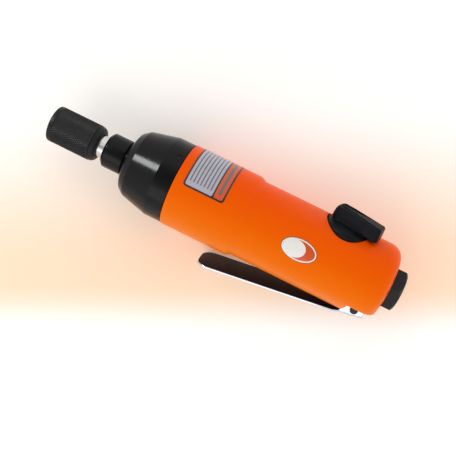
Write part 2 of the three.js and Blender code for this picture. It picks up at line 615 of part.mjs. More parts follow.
// ---------- air inlet ----------
function inletBushing() {
  const { rear, flats, chamfer, threadR, boreR, threadFront } = INLET;
  const head = prismX(hexagon(flats, -ROLL), HANDLE.rear + GAP, rear);
  const corner = flats / Math.sqrt(3);
  const cone = turned([[HANDLE.rear, 0], [HANDLE.rear, corner + 1], [rear - chamfer, corner],
    [rear, corner - chamfer * 1.3], [rear, 0]], 36);
  const bore = rod(threadFront, rear + 1, boreR, 32);
  return head.intersect(cone).add(rod(threadFront + 2.5, HANDLE.rear + 0.6, threadR, 32)).subtract(bore);
}

place("inlet_bushing", inletBushing(), blackSteel());
place("inlet_screen", tube(INLET.threadFront + 0.4, INLET.threadFront + 2.1, 2, 8, 24), bronze());

// ---------- rest on the floor, centred under the box ----------
const object = new THREE.Group();
object.add(tool);
tool.rotation.x = degrees(ROLL);
object.updateMatrixWorld(true);
const box = new THREE.Box3().setFromObject(tool, true);
tool.position.set(-(box.min.x + box.max.x) / 2, -(box.min.y + box.max.y) / 2, -box.min.z);

export default object;
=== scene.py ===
"""Looks of the inline air screwdriver: smooth, finely detailed pieces and procedural materials.

Pieces are drawn in the tool's own coordinates, in millimetres. x is the station, from near the chuck's
front face, z points out through the reverse knob and -z through the throttle lever. TOOL places them in
the frame.
"""
import json
import math

import bmesh
import bpy
from mathutils import Matrix, Vector


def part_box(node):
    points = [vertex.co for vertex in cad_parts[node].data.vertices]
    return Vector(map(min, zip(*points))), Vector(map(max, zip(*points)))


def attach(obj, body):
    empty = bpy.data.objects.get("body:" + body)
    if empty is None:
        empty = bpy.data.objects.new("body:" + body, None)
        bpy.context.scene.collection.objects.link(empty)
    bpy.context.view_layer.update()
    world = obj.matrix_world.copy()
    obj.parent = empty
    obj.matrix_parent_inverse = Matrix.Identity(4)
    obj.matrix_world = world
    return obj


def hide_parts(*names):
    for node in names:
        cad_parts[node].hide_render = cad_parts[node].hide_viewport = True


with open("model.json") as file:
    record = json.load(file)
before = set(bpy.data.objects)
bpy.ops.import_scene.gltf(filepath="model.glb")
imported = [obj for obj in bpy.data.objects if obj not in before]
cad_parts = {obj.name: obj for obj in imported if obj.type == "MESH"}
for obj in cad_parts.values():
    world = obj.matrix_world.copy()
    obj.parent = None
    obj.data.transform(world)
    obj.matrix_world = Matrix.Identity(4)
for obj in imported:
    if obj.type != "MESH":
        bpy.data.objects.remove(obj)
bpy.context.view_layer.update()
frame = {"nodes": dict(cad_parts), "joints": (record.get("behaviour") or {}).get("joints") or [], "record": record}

MM = 0.001
JOINTS = {joint["name"]: joint for joint in frame["joints"]}
AXIS_POINT = Vector(JOINTS["rotor_spin"]["pos_m"])
KNOB_UP = Vector(JOINTS["reverse_turn"]["axis"]).normalized()
SIDE = Vector(JOINTS["lever_pivot"]["axis"]).normalized()
INLET_REAR = 193.2  # the station of the inlet's rear face
FRONT_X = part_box("inlet_bushing")[1].x - INLET_REAR * MM  # where station 0 is in the frame
TOOL = Matrix((
    (1, SIDE.x, KNOB_UP.x, FRONT_X),
    (0, SIDE.y, KNOB_UP.y, AXIS_POINT.y),
    (0, SIDE.z, KNOB_UP.z, AXIS_POINT.z),
    (0, 0, 0, 1),
))
UP_ANGLE = math.degrees(math.atan2(-SIDE.z, KNOB_UP.z))  # from +z towards -y, the side that faces up


def station(point):
    """A frame point in tool coordinates, in millimetres."""
    return TOOL.inverted() @ Vector(point) / MM


def stations_of(node):
    """A node's first and last station."""
    low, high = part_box(node)
    return (low.x - FRONT_X) / MM, (high.x - FRONT_X) / MM


def centre_of(node):
    """The station of a node's middle, and its angle about the axis."""
    low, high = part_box(node)
    centre = station((low + high) / 2)
    return centre.x, math.degrees(math.atan2(-centre.y, centre.z))


LEVER_PIVOT = station(JOINTS["lever_pivot"]["pos_m"])
KNOB_X = station(JOINTS["reverse_turn"]["pos_m"]).x
THROTTLE_X = sum(stations_of("throttle_bushing")) / 2


# ---------- mesh building ----------
def polar(r, degrees):
    """A point (y, z) at an angle from +z towards -y."""
    a = math.radians(degrees)
    return -r * math.sin(a), r * math.cos(a)


def profile(rows, steps):
    """A polyline from rows of (u, v, corner radius), with its corners rounded off. 0 keeps a corner."""
    points = [Vector(row[:2]) for row in rows]
    last = len(rows) - 1
    out = []
    for i, p in enumerate(points):
        radius = rows[i][2]
        if radius == 0 or i in (0, last):
            out.append(tuple(p))
            continue
        a = points[i - 1] - p
        b = points[i + 1] - p
        half = a.angle(b) / 2
        reach = min(radius / math.tan(half), a.length * 0.49, b.length * 0.49)
        start = p + a.normalized() * reach
        end = p + b.normalized() * reach
        for k in range(steps + 1):
            t = k / steps
            out.append(tuple(start * (1 - t) ** 2 + p * 2 * t * (1 - t) + end * t ** 2))
    return out


def new_object(name, bm, sharp=38):
    """Turns a bmesh in millimetres into a smooth-shaded object in tool coordinates, in metres."""
    bmesh.ops.remove_doubles(bm, verts=bm.verts, dist=1e-4)
    bmesh.ops.recalc_face_normals(bm, faces=bm.faces)
    mesh = bpy.data.meshes.new(name)
    bm.to_mesh(mesh)
    bm.free()
    mesh.transform(Matrix.Scale(MM, 4))
    ob = bpy.data.objects.new(name, mesh)
    bpy.context.scene.collection.objects.link(ob)
    shade(ob, sharp)
    return ob


def shade(ob, sharp=38):
    """Smooth faces, with the edges steeper than the angle kept sharp."""
    bm = bmesh.new()
    bm.from_mesh(ob.data)
    limit = math.radians(sharp)
    for edge in bm.edges:
        edge.smooth = len(edge.link_faces) == 2 and edge.calc_face_angle(math.pi) < limit
    for face in bm.faces:
        face.smooth = True
    bm.to_mesh(ob.data)
    bm.free()


def lathe(outline, segments, relief=None):
    """Turns a closed outline of (station, radius) about the tool's axis. relief changes a radius."""
    bm = bmesh.new()
    rings = []
    for k in range(segments):
        angle = 360 * k / segments
        ring = []
        for x, r in outline:
            if relief:
                r = relief(x, r, angle)
            y, z = polar(r, angle)
            ring.append(bm.verts.new((x, y, z)))
        rings.append(ring)
    count = len(outline)
    for k in range(segments):
        a, b = rings[k], rings[(k + 1) % segments]
        for i in range(count):
            j = (i + 1) % count
            if outline[i][1] or outline[j][1]:
                bm.faces.new([a[i], a[j], b[j], b[i]])
    bmesh.ops.remove_doubles(bm, verts=bm.verts, dist=1e-5)
    return bm


def stand(bm):
    """Turns a lathed bmesh so that its axis points along z."""
    bmesh.ops.transform(bm, verts=bm.verts, matrix=Matrix.Rotation(math.radians(-90), 4, "Y"))
    return bm


def turn_radial(bm, x, angle):
    """Moves a bmesh that stands along z to a station and an angle about the tool's axis."""
    place = Matrix.Translation((x, 0, 0)) @ Matrix.Rotation(math.radians(angle), 4, "X")
    bmesh.ops.transform(bm, verts=bm.verts, matrix=place)


def radial_lathe(outline, x, angle, segments):
    """An outline of (height, radius) turned about a radius of the tool."""
    bm = stand(lathe(outline, segments))
    turn_radial(bm, x, angle)
    return bm


def prism(points, low, high, place):
    """A flat outline extruded from low to high. place(u, v, w) gives the point."""
    bm = bmesh.new()
    bottom = [bm.verts.new(place(u, v, low)) for u, v in points]
    top = [bm.verts.new(place(u, v, high)) for u, v in points]
    bm.faces.new(bottom)
    bm.faces.new(list(reversed(top)))
    for i in range(len(points)):
        j = (i + 1) % len(points)
        bm.faces.new([bottom[i], top[i], top[j], bottom[j]])
    return bm


def along_x(u, v, w):
    return (w, u, v)


def along_y(u, v, w):
    return (u, w, v)


def along_z(u, v, w):
    return (u, v, w)


def circle(r, count, centre=(0, 0)):
    turns = [2 * math.pi * i / count for i in range(count)]
    return [(centre[0] + r * math.cos(a), centre[1] + r * math.sin(a)) for a in turns]


def merge(first, other):
    """Adds a bmesh to the first one, as a separate shell."""
    mesh = bpy.data.meshes.new("part")
    other.to_mesh(mesh)
    first.from_mesh(mesh)
    bpy.data.meshes.remove(mesh)
    other.free()
    return first


def boolean(ob, cutter_bm, operation="DIFFERENCE"):
    """Cuts, joins or keeps with a bmesh solid, and applies the result."""
    cutter = new_object("cutter", cutter_bm)
    modifier = ob.modifiers.new("boolean", "BOOLEAN")
    modifier.operation = operation
    modifier.object = cutter
    modifier.solver = "EXACT"
    apply_modifiers(ob)
    bpy.data.objects.remove(cutter)


def apply_modifiers(ob):
    bpy.context.view_layer.update()
    graph = bpy.context.evaluated_depsgraph_get()
    mesh = bpy.data.meshes.new_from_object(ob.evaluated_get(graph))
    ob.modifiers.clear()
    old = ob.data
    ob.data = mesh
    bpy.data.meshes.remove(old)


def bevel(ob, width, angle):
    """Rounds the edges that are sharper than the angle. width is in millimetres."""
    modifier = ob.modifiers.new("bevel", "BEVEL")
    modifier.width = width * MM
    modifier.segments = 2
    modifier.limit_method = "ANGLE"
    modifier.angle_limit = math.radians(angle)
    modifier.use_clamp_overlap = True
    modifier.harden_normals = False
    apply_modifiers(ob)


def finish_piece(ob, material, body, slot, *nodes):
    """Puts a piece in the frame, with its material, body and the CAD nodes it stands for."""
    ob.data.transform(TOOL)
    ob.data.materials.clear()
    ob.data.materials.append(material)
    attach(ob, body)
    if nodes:
        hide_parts(*nodes)
    return ob


# ---------- materials ----------
class Nodes:
    """A Principled material and the nodes that feed it."""

    def __init__(self, name, color, roughness, metallic=0.0, **sockets):
        self.material = bpy.data.materials.new(name)
        self.material.use_nodes = True
        self.tree = self.material.node_tree
        self.shader = self.tree.nodes["Principled BSDF"]
        self.shader.inputs["Base Color"].default_value = (*color, 1)
        self.shader.inputs["Roughness"].default_value = roughness
        self.shader.inputs["Metallic"].default_value = metallic
        for key, value in sockets.items():
            self.shader.inputs[key.replace("_", " ")].default_value = value
        self.coords = self.tree.nodes.new("ShaderNodeTexCoord").outputs["Object"]

    def node(self, kind, inputs=None, **settings):
        node = self.tree.nodes.new("ShaderNode" + kind)
        for key, value in settings.items():
            setattr(node, key, value)
        for key, value in (inputs or {}).items():
            self.feed(node.inputs[key], value)
        return node

    def feed(self, socket, value):
        if isinstance(value, bpy.types.NodeSocket):
            self.tree.links.new(value, socket)
        else:
            socket.default_value = value

    def noise(self, scale, detail=3.0, stretch=None):
        """A noise value. scale is in features per metre."""
        coords = self.coords
        if stretch:
            coords = self.node("Mapping", {"Vector": coords, "Scale": stretch}).outputs[0]
        return self.node("TexNoise", {"Vector": coords, "Scale": scale, "Detail": detail}).outputs[0]

    def ramp(self, value, low, high, out_low=0.0, out_high=1.0):
        return self.node("MapRange", {"Value": value, "From Min": low, "From Max": high,
                                      "To Min": out_low, "To Max": out_high}).outputs[0]

    def mix(self, factor, a, b):
        node = self.tree.nodes.new("ShaderNodeMix")
        node.data_type = "RGBA"
        self.feed(node.inputs[0], factor)
        for socket, value in ((node.inputs[6], a), (node.inputs[7], b)):
            self.feed(socket, value if isinstance(value, bpy.types.NodeSocket) else (*value, 1))
        return node.outputs[2]

    def color(self, value):
        self.feed(self.shader.inputs["Base Color"], value)

    def roughness(self, value):
        self.feed(self.shader.inputs["Roughness"], value)

    def bump(self, height, distance, strength=1.0):
        """Bump of a height from 0 to 1 that stands for the distance, in millimetres."""
        bump = self.node("Bump", {"Height": height, "Distance": distance * MM, "Strength": strength})
        self.tree.links.new(bump.outputs[0], self.shader.inputs["Normal"])


def orange_coat():
    """A satin coat with painted light: redder towards the knob's side and yellower towards the lever's, as a warm
    light painted on from the lever's side.
    """
    m = Nodes("orange_coat", (0.82, 0.1, 0.001), 0.36, Specular_IOR_Level=0.16,
              Specular_Tint=(1.0, 0.45, 0.08, 1))
    height = m.node("VectorMath", {0: m.coords, 1: KNOB_UP}, operation="DOT_PRODUCT").outputs["Value"]
    middle = AXIS_POINT.dot(KNOB_UP)
    reach = 18 * MM
    # painted light: the colour runs from the painted lit colour on the lever's side to a redder painted shade on
    # the knob's side
    painted_light_share = m.ramp(height, middle - reach, middle + reach)
    # the painted lit colour of the lever's side, mottled at random by noise
    painted_lit_side_mottled = m.mix(m.ramp(m.noise(60, 2), 0.3, 0.7), (0.73, 0.163, 0.0004), (0.75, 0.172, 0.0004))
    m.color(m.mix(painted_light_share, painted_lit_side_mottled, (0.84, 0.082, 0.0012)))
    m.roughness(m.ramp(m.noise(900, 3), 0.3, 0.7, 0.32, 0.42))
    m.bump(m.noise(1400, 2), 0.02, 0.3)
    return m.material


def gloss_black():
    m = Nodes("gloss_black", (0.0045, 0.005, 0.006), 0.16, Specular_IOR_Level=0.15)
    m.roughness(m.ramp(m.noise(500, 4), 0.35, 0.75, 0.13, 0.22))
    m.bump(m.noise(2500, 2), 0.006, 0.25)
    return m.material


def turned_steel(name, color, roughness, metallic=1.0):
    """Machined steel with fine turning marks round the tool's axis."""
    m = Nodes(name, color, roughness, metallic)
    marks = m.noise(400, 4, stretch=(22, 0.4, 0.4))
    m.roughness(m.ramp(marks, 0.3, 0.7, roughness * 0.75, roughness * 1.35))
    dark = tuple(c * 0.85 for c in color)
    m.color(m.mix(m.ramp(m.noise(120, 3), 0.35, 0.7), color, dark))
    m.bump(marks, 0.01, 0.25)
    return m.material


def black_oxide():
    m = Nodes("black_oxide", (0.008, 0.0078, 0.0095), 0.4, Specular_IOR_Level=0.18)
    patches = m.ramp(m.noise(300, 4), 0.35, 0.7)
    m.color(m.mix(patches, (0.007, 0.0069, 0.0085), (0.012, 0.0118, 0.0145)))
    m.roughness(m.ramp(m.noise(900, 3), 0.3, 0.7, 0.32, 0.48))
    m.bump(m.noise(3000, 2), 0.01, 0.3)
    return m.material


def moulded_plastic():
    m = Nodes("moulded_plastic", (0.005, 0.0056, 0.007), 0.4, Specular_IOR_Level=0.08)
    m.color(m.mix(m.ramp(m.noise(150, 3), 0.35, 0.7), (0.0035, 0.0042, 0.006), (0.006, 0.007, 0.0095)))
    m.roughness(m.ramp(m.noise(1200, 3), 0.3, 0.7, 0.34, 0.46))
    m.bump(m.noise(3500, 2), 0.012, 0.35)
    return m.material


def chrome_plate():
    m = Nodes("chrome_plate", (0.56, 0.61, 0.70), 0.13, 1.0)
    scratches = m.noise(700, 4, stretch=(0.25, 6, 1))
    m.roughness(m.ramp(scratches, 0.35, 0.75, 0.09, 0.2))
    m.bump(m.noise(250, 2), 0.02, 0.12)
    return m.material


def iron():
    m = Nodes("machined_iron", (0.2, 0.2, 0.21), 0.5, 0.8)
    m.roughness(m.ramp(m.noise(600, 4), 0.3, 0.7, 0.4, 0.62))
    m.color(m.mix(m.ramp(m.noise(200, 3), 0.35, 0.7), (0.2, 0.2, 0.21), (0.13, 0.13, 0.135)))
    return m.material


def bearing_bronze():
    m = Nodes("bearing_bronze", (0.45, 0.27, 0.09), 0.35, 1.0)
    m.roughness(m.ramp(m.noise(700, 4), 0.3, 0.7, 0.28, 0.48))
    m.bump(m.noise(4000, 2), 0.02, 0.3)
    return m.material


def phenolic():
    m = Nodes("phenolic_laminate", (0.12, 0.05, 0.025), 0.6)
    m.color(m.mix(m.ramp(m.noise(1500, 3), 0.35, 0.7), (0.12, 0.05, 0.025), (0.07, 0.03, 0.015)))
    return m.material


def printed_film(name, color):
    m = Nodes(name, color, 0.3, Coat_Weight=0.2, Coat_Roughness=0.1)
    shade_low = tuple(c * 0.93 for c in color)
    m.color(m.mix(m.ramp(m.noise(250, 3), 0.35, 0.7), color, shade_low))
    m.roughness(m.ramp(m.noise(1200, 2), 0.3, 0.7, 0.25, 0.4))
    return m.material


ORANGE = orange_coat()
GLOSS_BLACK = gloss_black()
OXIDE = black_oxide()
PLASTIC = moulded_plastic()
CHROME = chrome_plate()
# painted shade: a dark steel for the lever's inner faces, standing in for the chrome's dark reflection of the body
LEVER_PAINTED_SHADE = turned_steel("lever_inside_painted_shade", (0.024, 0.026, 0.03), 0.4, 0.9)
BRIGHT = turned_steel("bright_steel", (0.62, 0.61, 0.6), 0.2)
DARK_STEEL = turned_steel("dark_turned_steel", (0.02, 0.02, 0.023), 0.26, 0.8)
IRON = iron()
BRONZE = bearing_bronze()
PHENOLIC = phenolic()
FILM_WHITE = printed_film("film_white", (0.78, 0.78, 0.77))
FILM_PANEL = printed_film("film_panel", (0.4, 0.4, 0.48))
FILM_BLACK = printed_film("film_black", (0.012, 0.012, 0.012))
FILM_ORANGE = printed_film("film_orange", (0.62, 0.07, 0.002))
FILM_GREY = printed_film("film_grey", (0.12, 0.12, 0.13))

CAD_MATERIALS = {
    "bright_steel": BRIGHT,
    "iron": IRON,
    "bronze": BRONZE,
    "phenolic": PHENOLIC,
    "black_steel": OXIDE,
    "orange_coat": ORANGE,
    "gloss_black": GLOSS_BLACK,
    "black_plastic": PLASTIC,
    "chrome_plate": CHROME,
    "label_white": FILM_WHITE,
}


def dress_cad_nodes():
    """Gives every CAD node the material of its record slot."""
    for row in frame["record"]["subparts"]:
        ob = frame["nodes"][row["node"]]
        ob.data.materials.clear()
        ob.data.materials.append(CAD_MATERIALS[row["material_slot"]])


# ---------- chuck ----------
SLEEVE_R = 9.5
SLEEVE_FRONT = 0.5
SLEEVE_REAR = 24.1
KNURL_FRONT = 3.0
KNURL_REAR = 23.7
KNURL_PITCH = 1.15
KNURL_DEPTH = 0.28
KNURL_ANGLE = 30  # degrees between a groove and the axis
KNURL_FADE = 0.4  # length over which the grooves run out at each end
BALL_X = 5.8


def knurl_relief(x, r, angle):
    """Two crossing families of V grooves with flat tops between them."""
    if r < SLEEVE_R - 0.02 or not KNURL_FRONT <= x <= KNURL_REAR:
        return r
    count = round(2 * math.pi * SLEEVE_R / KNURL_PITCH)
    lead = x * math.tan(math.radians(KNURL_ANGLE)) / KNURL_PITCH
    turns = angle / 360 * count
    fade = min(1, (x - KNURL_FRONT) / KNURL_FADE, (KNURL_REAR - x) / KNURL_FADE)
    grooves = [abs(((turns + sign * lead) % 1) - 0.5) * 2 for sign in (1, -1)]
    flat_top = 1.25
    height = min(min(g * flat_top, 1) for g in grooves)
    return r - KNURL_DEPTH * (1 - height) * fade


def sleeve():
    step = 0.16
    count = int((KNURL_REAR - KNURL_FRONT) / step)
    grip = [(KNURL_FRONT + (KNURL_REAR - KNURL_FRONT) * i / count, SLEEVE_R) for i in range(count + 1)]
    face = SLEEVE_FRONT + 0.03
    recess = SLEEVE_FRONT + 0.9
    front_bore, lip_bore, spring_bore = 7.8, 6.15, 8.2
    lip_front, lip_rear = 4.2, 10
    nose = profile([(recess, front_bore, 0), (recess, 7.15, 0.1), (face, 7.05, 0.15), (face, SLEEVE_R, 2.9),
                    (KNURL_FRONT + 0.5, SLEEVE_R, 0)], 9)[:-1]
    rear = [(SLEEVE_REAR - 0.15, SLEEVE_R - 0.05), (SLEEVE_REAR, SLEEVE_R - 0.25),
            (SLEEVE_REAR, spring_bore)]
    inside = [(lip_rear, spring_bore), (lip_rear, lip_bore), (lip_front, lip_bore), (lip_front, front_bore)]
    ob = new_object("knurled_sleeve", lathe(nose + grip + rear + inside, 520, knurl_relief), 30)
    finish_piece(ob, OXIDE, "sleeve", "black_steel", "quick_change_sleeve")


def end_cap():
    """A ring with a quarter-ellipse edge, on a spigot that sits in the sleeve."""
    front, flange, rear = 23.3, 24.35, 27.28
    bore, spigot, rear_r, bulge = 6.3, 7.9, 6.7, 2.6
    quarter = [math.radians(7.5 * i) for i in range(13)]
    edge = [(flange + (rear - flange) * math.sin(a), rear_r + bulge * math.cos(a)) for a in quarter]
    mouth = [(rear - 0.1, bore + 0.05), (rear - 0.3, bore)]
    outline = [(front, bore), (front, spigot), (flange, spigot)] + edge + mouth
    ob = new_object("sleeve_end_cap_turned", lathe(outline, 128))
    finish_piece(ob, OXIDE, "sleeve", "black_steel", "sleeve_end_cap")


def bit_holder():
    front, flange_front, flange_rear, rear = 1.6, 57.2, 60.2, 72.1
    shaft, flange, journal = 5.85, 7.8, 6.6
    outline = profile([(front, 0, 0), (front, shaft - 0.5, 0.15), (front + 0.5, shaft, 0.15),
                       (flange_front, shaft, 0), (flange_front, flange, 0.2), (flange_rear, flange, 0.2),
                       (flange_rear, journal, 0), (rear, journal, 0.2), (rear, 0, 0)], 4)
    ob = new_object("bit_holder", lathe(outline, 96))
    ahead = 0.5
    socket_width, socket_rear = 6.5, 26.6
    hexagon = [polar(socket_width / math.sqrt(3), 60 * i) for i in range(6)]
    boolean(ob, prism(hexagon, ahead, socket_rear, along_x))
    flare_rear = 3.1
    boolean(ob, lathe([(ahead, 0), (ahead, 5.2), (flare_rear, 2.6), (flare_rear, 0)], 64))
    groove_floor, groove_width, outside = 4.9, 1.5, 7
    for start in (1.9, 21.7):
        end = start + groove_width
        groove = [(start, groove_floor), (start, outside), (end, outside), (end, groove_floor)]
        boolean(ob, lathe(groove, 96))
    boolean(ob, prism(circle(1.6, 32, (BALL_X, 0)), 0, 8, along_z))
    shade(ob)
    finish_piece(ob, BRIGHT, "anvil_group", "bright_steel", "anvil")


def detent_ball():
    r, height = 1.39, 4.4
    half_turn = [math.radians(10 * i) for i in range(19)]
    arc = [(height - r * math.cos(a), r * math.sin(a)) for a in half_turn]
    arc[0] = (height - r, 0)
    arc[-1] = (height + r, 0)
    ob = new_object("detent_ball", radial_lathe(arc, BALL_X, 0, 32))
    finish_piece(ob, BRIGHT, "anvil_group", "bright_steel", "bit_detent_ball")


def sleeve_spring():
    """A round-wire spring with closed end coils, at the length it has with the sleeve pulled back."""
    front, rear = stations_of("sleeve_spring")
    front += 3.4
    radius, wire, turns, closed = 7.1, 0.42, 6, 0.75
    steps, sides = turns * 28, 10
    bm = bmesh.new()
    rings = []
    for i in range(steps + 1):
        turn = turns * i / steps
        a = 2 * math.pi * turn
        share = min(1, max(0, (turn - closed) / (turns - 2 * closed)))
        x = front + wire + (rear - front - 2 * wire) * share
        ring = []
        for k in range(sides):
            b = 2 * math.pi * k / sides
            r = radius + wire * math.cos(b)
            ring.append(bm.verts.new((x + wire * math.sin(b), r * math.cos(a), r * math.sin(a))))
        rings.append(ring)
    for a, b in zip(rings, rings[1:]):
        for k in range(sides):
            bm.faces.new([a[k], a[(k + 1) % sides], b[(k + 1) % sides], b[k]])
    bm.faces.new(rings[0])
    bm.faces.new(list(reversed(rings[-1])))
    ob = new_object("sleeve_spring_wire", bm, 50)
    finish_piece(ob, BRIGHT, "anvil_group", "bright_steel", "sleeve_spring")


# ---------- nose and hammer case ----------
def collar():
    front, step, rear = 31.02, 34.5, 42.28
    bore, rear_bore, outer, chamfer = 6.25, 8, 9.13, 1.28
    outline = profile([(front, bore, 0), (front, outer - chamfer, 0.35), (front + chamfer, outer, 0.5),
                       (rear, outer, 0.3), (rear, rear_bore, 0), (step, rear_bore, 0), (step, bore, 0),
                       (front, bore, 0)], 5)[:-1]
    ob = new_object("nose_collar_turned", lathe(outline, 144))
    finish_piece(ob, GLOSS_BLACK, "housing", "gloss_black", "nose_collar")


def hammer_case():
    """A dome, a long taper and a cylinder, hollow, with a snout that runs forward into the collar."""
    dome, rear, case_r = 42.62, 71.68, 21.27
    motor_bore, hammer_bore, bush_bore, anvil_bore, snout_bore, snout_r = 19.3, 16.2, 10.6, 8.3, 6.3, 7.7
    motor_seat, hammer_front, bush_rear, bush_front, snout_front = 63.3, 52, 56.5, 44, 34.8
    outer = profile([(dome, snout_r, 0), (dome, 8.95, 0.3), (45.3, 15.4, 3.2), (48.7, 17.85, 1.6),
                     (62.8, case_r, 0.5), (rear, case_r, 0.25), (rear, motor_bore, 0)], 8)
    inner = [(motor_seat, motor_bore), (motor_seat, hammer_bore), (hammer_front, hammer_bore),
             (hammer_front, bush_bore), (bush_rear, bush_bore), (bush_rear, anvil_bore),
             (bush_front, anvil_bore), (bush_front, snout_bore), (snout_front, snout_bore),
             (snout_front, snout_r)]
    ob = new_object("hammer_case_turned", lathe(outer + inner, 224), 26)
    plug_x, plug_angle = centre_of("grease_plug")
    hole = prism(circle(1.45, 40), 20.1, 24, along_z)
    turn_radial(hole, plug_x, plug_angle)
    boolean(ob, hole)
    shade(ob, 26)
    finish_piece(ob, GLOSS_BLACK, "housing", "gloss_black", "hammer_case")
    plug = [(20.3, 0), (20.3, 1.28), (20.95, 1.28), (21.1, 1.15), (21.1, 0.7), (20.7, 0.6), (20.7, 0)]
    ob = new_object("grease_plug_turned", radial_lathe(plug, plug_x, plug_angle, 40))
    finish_piece(ob, DARK_STEEL, "housing", "black_steel", "grease_plug")


# ---------- motor housing ----------
MOTOR_R = 21.5
HANDLE_R = 20.1
HOUSING_REAR = 186.8
EXHAUST_ANGLES = (50, 75, 100, -50, -75, -100)


def housing():
    front, rabbet, bore_rear = 72, 63.6, 131.3
    bore, rabbet_r = 17.5, 19
    outer = profile([(front, rabbet_r, 0), (front, MOTOR_R, 0.35), (108.1, MOTOR_R, 1.2),
                     (110.7, HANDLE_R, 1.2), (HOUSING_REAR, HANDLE_R, 8.2), (HOUSING_REAR, 0, 0)], 12)
    inner = [(bore_rear, 0), (bore_rear, bore), (rabbet, bore), (rabbet, rabbet_r)]
    ob = new_object("motor_housing_shell", lathe(inner + outer, 224), 30)
    cut_lever_seat(ob)
    cut_valve_bores(ob)
    behind = HOUSING_REAR + 1
    inlet_floor, inlet_r = 172.5, 8.7
    boolean(ob, lathe([(inlet_floor, 0), (inlet_floor, inlet_r), (behind, inlet_r), (behind, 0)], 96))
    for angle in EXHAUST_ANGLES:
        boolean(ob, prism(circle(1.6, 24, polar(15.4, angle)), 150, behind, along_x))
    bevel(ob, 0.22, 34)
    shade(ob, 30)
    finish_piece(ob, ORANGE, "housing", "orange_coat", "motor_housing")


def cut_lever_seat(ob):
    """The flat under the lever with its slanted front, the shallow relief ahead of it, and the lug."""
    wide = HANDLE_R + 1.2
    behind = HOUSING_REAR + 1
    flat, relief, lug_bottom, lug_half = -11, -18.2, -17.3, 6
    seat = [(169.8, -wide), (172.4, flat), (behind, flat), (behind, -wide)]
    boolean(ob, prism(seat, -wide, wide, along_y))
    boolean(ob, prism([(138, -wide), (138, relief), (172, relief), (172, -wide)], -wide, wide, along_y))
    lug_front, lug_rear = 171.8, 184
    lug = [(lug_front, lug_bottom), (lug_front, flat + 1), (lug_rear, flat + 1), (lug_rear, lug_bottom + 2),
           (lug_rear - 2, lug_bottom)]
    boolean(ob, prism(lug, -lug_half, lug_half, along_y), "UNION")
    boolean(ob, prism(circle(1.65, 32, (LEVER_PIVOT.x, LEVER_PIVOT.z)), -20, 20, along_y))


def cut_valve_bores(ob):
    outside = 30
    boolean(ob, prism(circle(11.6, 96, (KNOB_X, 0)), 15.5, outside, along_z))
    boolean(ob, prism(circle(6.2, 48, (KNOB_X, 0)), -9, outside, along_z))
    boolean(ob, prism(circle(3.8, 48, (THROTTLE_X, 0)), -outside, 9, along_z))


# ---------- label and badge ----------
FILM = 0.12  # thickness of a printed film
LAYER = 0.02  # what each print layer stands above the one below it


def film(name, r, outline, x, angle, thick, material, step=1.0):
    """A thin printed film bent round a cylinder. outline is (along, around), about its centre."""
    bm = bmesh.new()
    bm.faces.new([bm.verts.new((u, v, 0)) for u, v in outline])
    low = min(v for _, v in outline)
    high = max(v for _, v in outline)
    cuts = max(1, int((high - low) / step))
    for i in range(1, cuts):
        v = low + (high - low) * i / cuts
        geometry = bm.verts[:] + bm.edges[:] + bm.faces[:]
        bmesh.ops.bisect_plane(bm, geom=geometry, plane_co=(0, v, 0), plane_no=(0, 1, 0))
    extruded = bmesh.ops.extrude_face_region(bm, geom=bm.faces[:])
    for v in [g for g in extruded["geom"] if isinstance(g, bmesh.types.BMVert)]:
        v.co.z = thick
    for vert in bm.verts:
        y, z = polar(r + vert.co.z, angle + math.degrees(vert.co.y / r))
        vert.co = (x + vert.co.x, y, z)
    return new_object(name, bm, 50)


def rounded_rect(width, height, r, steps=6):
    points = []
    for cx, cy, start in ((1, 1, 0), (-1, 1, 90), (-1, -1, 180), (1, -1, 270)):
        for i in range(steps + 1):
            a = math.radians(start + 90 * i / steps)
            points.append((cx * (width / 2 - r) + r * math.cos(a), cy * (height / 2 - r) + r * math.sin(a)))
    return points


def label():
    """A generic notice: a panel and an orange band in a black border, with plain bars in place of text."""
    low, high = stations_of("side_label")
    x = (low + high) / 2
    wide = high - low - 0.4
    tall = 36.0
    centre = UP_ANGLE - 0.2 - math.degrees(tall / 2 / MOTOR_R)
    base = film("side_label_film", MOTOR_R, rounded_rect(wide, tall, 1.6), x, centre, FILM, FILM_BLACK)
    finish_piece(base, FILM_BLACK, "housing", "label_white", "side_label")

    def patch(name, u, v, w, h, r, material, layer):
        outline = [(u + a, v + b) for a, b in rounded_rect(w, h, r)]
        ob = film(name, MOTOR_R, outline, x, centre, FILM + layer * LAYER, material)
        finish_piece(ob, material, "housing", "label_white")

    border, divider, band, corner = 0.9, 0.8, 4.6, 0.9
    panel = wide - 2 * border - divider - band
    left = -wide / 2 + border
    band_middle = wide / 2 - border - band / 2
    patch("label_text_panel", left + panel / 2, 0, panel, tall - 2 * border, corner, FILM_PANEL, 1)
    patch("label_band", band_middle, 0, band, tall - 2 * border, corner, FILM_ORANGE, 1)
    bars, margin, bar_wide = 7, 1.6, 0.62
    longest = tall - 6.5
    for i in range(bars):
        u = left + margin + (panel - 2 * margin) * i / (bars - 1)
        short = 4.0 if i % 3 == 2 else 0
        patch(f"label_bar_{i + 1}", u, short / 2, bar_wide, longest - short, 0.25, FILM_GREY, 2)
    patch("label_band_bar", band_middle, 3, 1.5, tall - 12, 0.5, FILM_GREY, 2)


